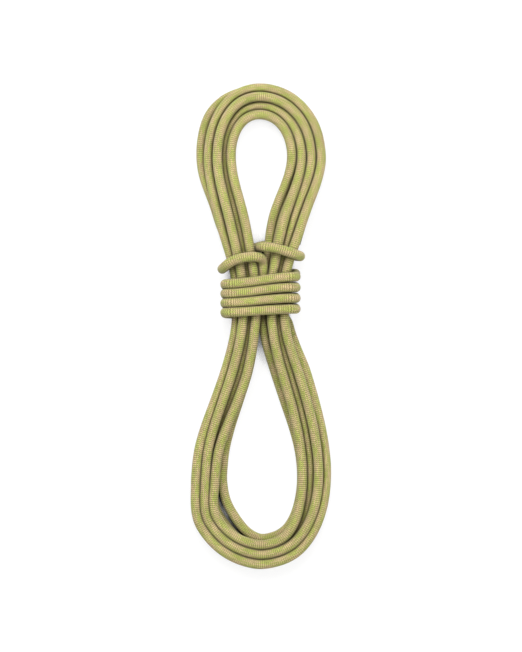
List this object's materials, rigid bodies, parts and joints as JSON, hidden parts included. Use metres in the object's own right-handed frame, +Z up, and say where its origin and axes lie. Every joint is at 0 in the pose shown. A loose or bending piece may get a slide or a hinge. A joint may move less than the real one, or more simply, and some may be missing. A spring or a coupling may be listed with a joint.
{
  "type": "climbing rope hank",
  "caption": "Dynamic climbing rope put up as a flat tied hank: long loops drawn in at the waist by wraps of the rope's own end and locked with a bight.",
  "frame": {"origin": "centre of the hank's outline, on the surface that it lies on", "axes": "+X to the right, +Y towards the head of the hank, +Z up, away from the surface"},
  "size_m": [0.1489, 0.5139, 0.0573],
  "materials": {
    "sheath": "braided nylon, lime and pinkish-tan yarns that read as olive",
    "end_sleeve": "shrunk tube, satin",
    "fused_end": "melted and smoothed nylon"
  },
  "bodies": {
    "root": {"hank_loops": "sheath", "waist_wraps": "sheath", "locking_bight": "sheath", "tucked_tail": "sheath", "first_end_sleeve": "end_sleeve", "first_end_seal": "fused_end", "tail_end_sleeve": "end_sleeve", "tail_end_seal": "fused_end"}
  },
  "joints": []
}
